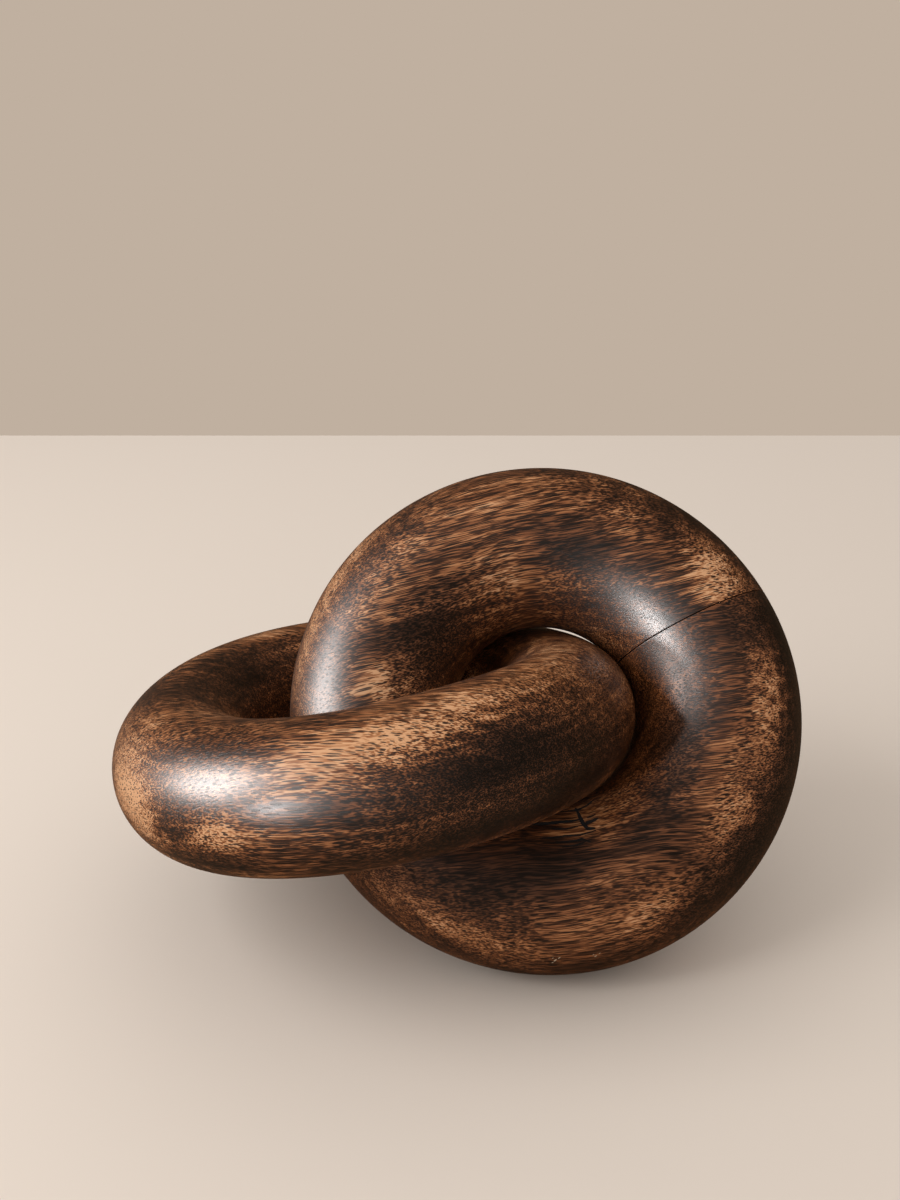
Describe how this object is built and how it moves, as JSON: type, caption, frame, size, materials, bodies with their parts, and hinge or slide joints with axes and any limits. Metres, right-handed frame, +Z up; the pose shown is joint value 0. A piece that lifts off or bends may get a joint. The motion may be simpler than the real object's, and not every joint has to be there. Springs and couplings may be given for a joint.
{
  "type": "wooden chain link sculpture",
  "caption": "Two dark stained turned wood rings linked together, one lying through the other, which stands on edge, leans back and is glued at a straight saw cut.",
  "frame": {"origin": "centre of the bounding box in X and Y, on the plane of the rest flat under the standing ring", "axes": "+X to the viewer's right, along the length of the sculpture; +Y away from the viewer; +Z up"},
  "size_m": [0.1868, 0.1386, 0.1163],
  "materials": {
    "lying_wood": "dark stained, rubbed through, satin lacquer",
    "upper_wood": "dark stained, rubbed through, satin lacquer",
    "lower_wood": "dark stained, rubbed through, satin lacquer",
    "dowel_wood": "bare"
  },
  "bodies": {
    "standing_ring": {"standing_ring_upper": "upper_wood", "standing_ring_lower": "lower_wood", "right_joint_dowel_front": "dowel_wood", "right_joint_dowel_back": "dowel_wood", "left_joint_dowel_front": "dowel_wood", "left_joint_dowel_back": "dowel_wood"},
    "lying_ring": {"lying_ring": "lying_wood"}
  },
  "joints": [
    {"name": "lying_ring_travel", "type": "hinge", "parent": "standing_ring", "child": "lying_ring", "pos_m": [0.02338, 0.00456, 0.05791], "axis": [0, 0.757, -0.6534], "range_deg": [-22, 172]}
  ]
}
